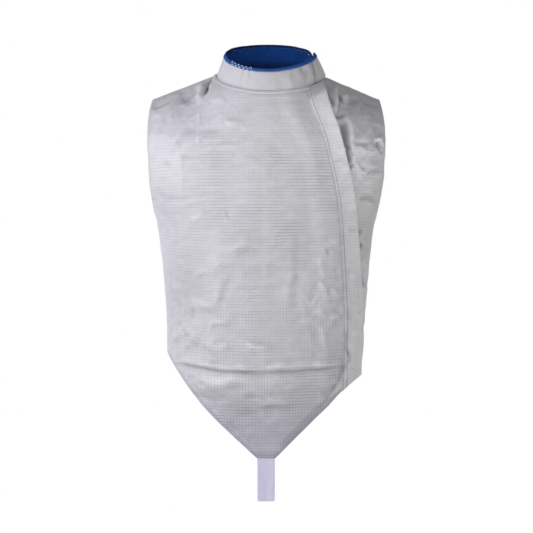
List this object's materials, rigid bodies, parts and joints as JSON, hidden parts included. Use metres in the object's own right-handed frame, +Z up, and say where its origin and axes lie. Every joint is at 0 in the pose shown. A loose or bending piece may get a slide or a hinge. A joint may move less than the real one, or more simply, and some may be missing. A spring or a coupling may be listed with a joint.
{
  "type": "fencing lame",
  "caption": "Sleeveless conductive fencing vest in its worn, hollow form, with a standing collar, a crossover front closing at the wearer's left, a V flap and a crotch strap end.",
  "frame": {"origin": "level with the neck points, where the shoulder seams meet the collar, on the centre line and over the side seams", "axes": "+Z up, front faces -Y, +X towards the wearer's left"},
  "size_m": [0.388, 0.2314, 0.7523],
  "materials": {
    "conductive_cloth": "woven, soft metallic sheen",
    "blue_cotton": "matt woven",
    "white_elastic": "ribbed webbing"
  },
  "bodies": {
    "root": {"front_panel": "conductive_cloth", "placket_strip": "conductive_cloth", "left_panel": "conductive_cloth", "back_panel": "conductive_cloth", "neck_strip": "conductive_cloth", "collar_outer": "conductive_cloth", "collar_lining": "blue_cotton", "collar_binding": "blue_cotton", "crotch_tab": "white_elastic"}
  },
  "joints": []
}
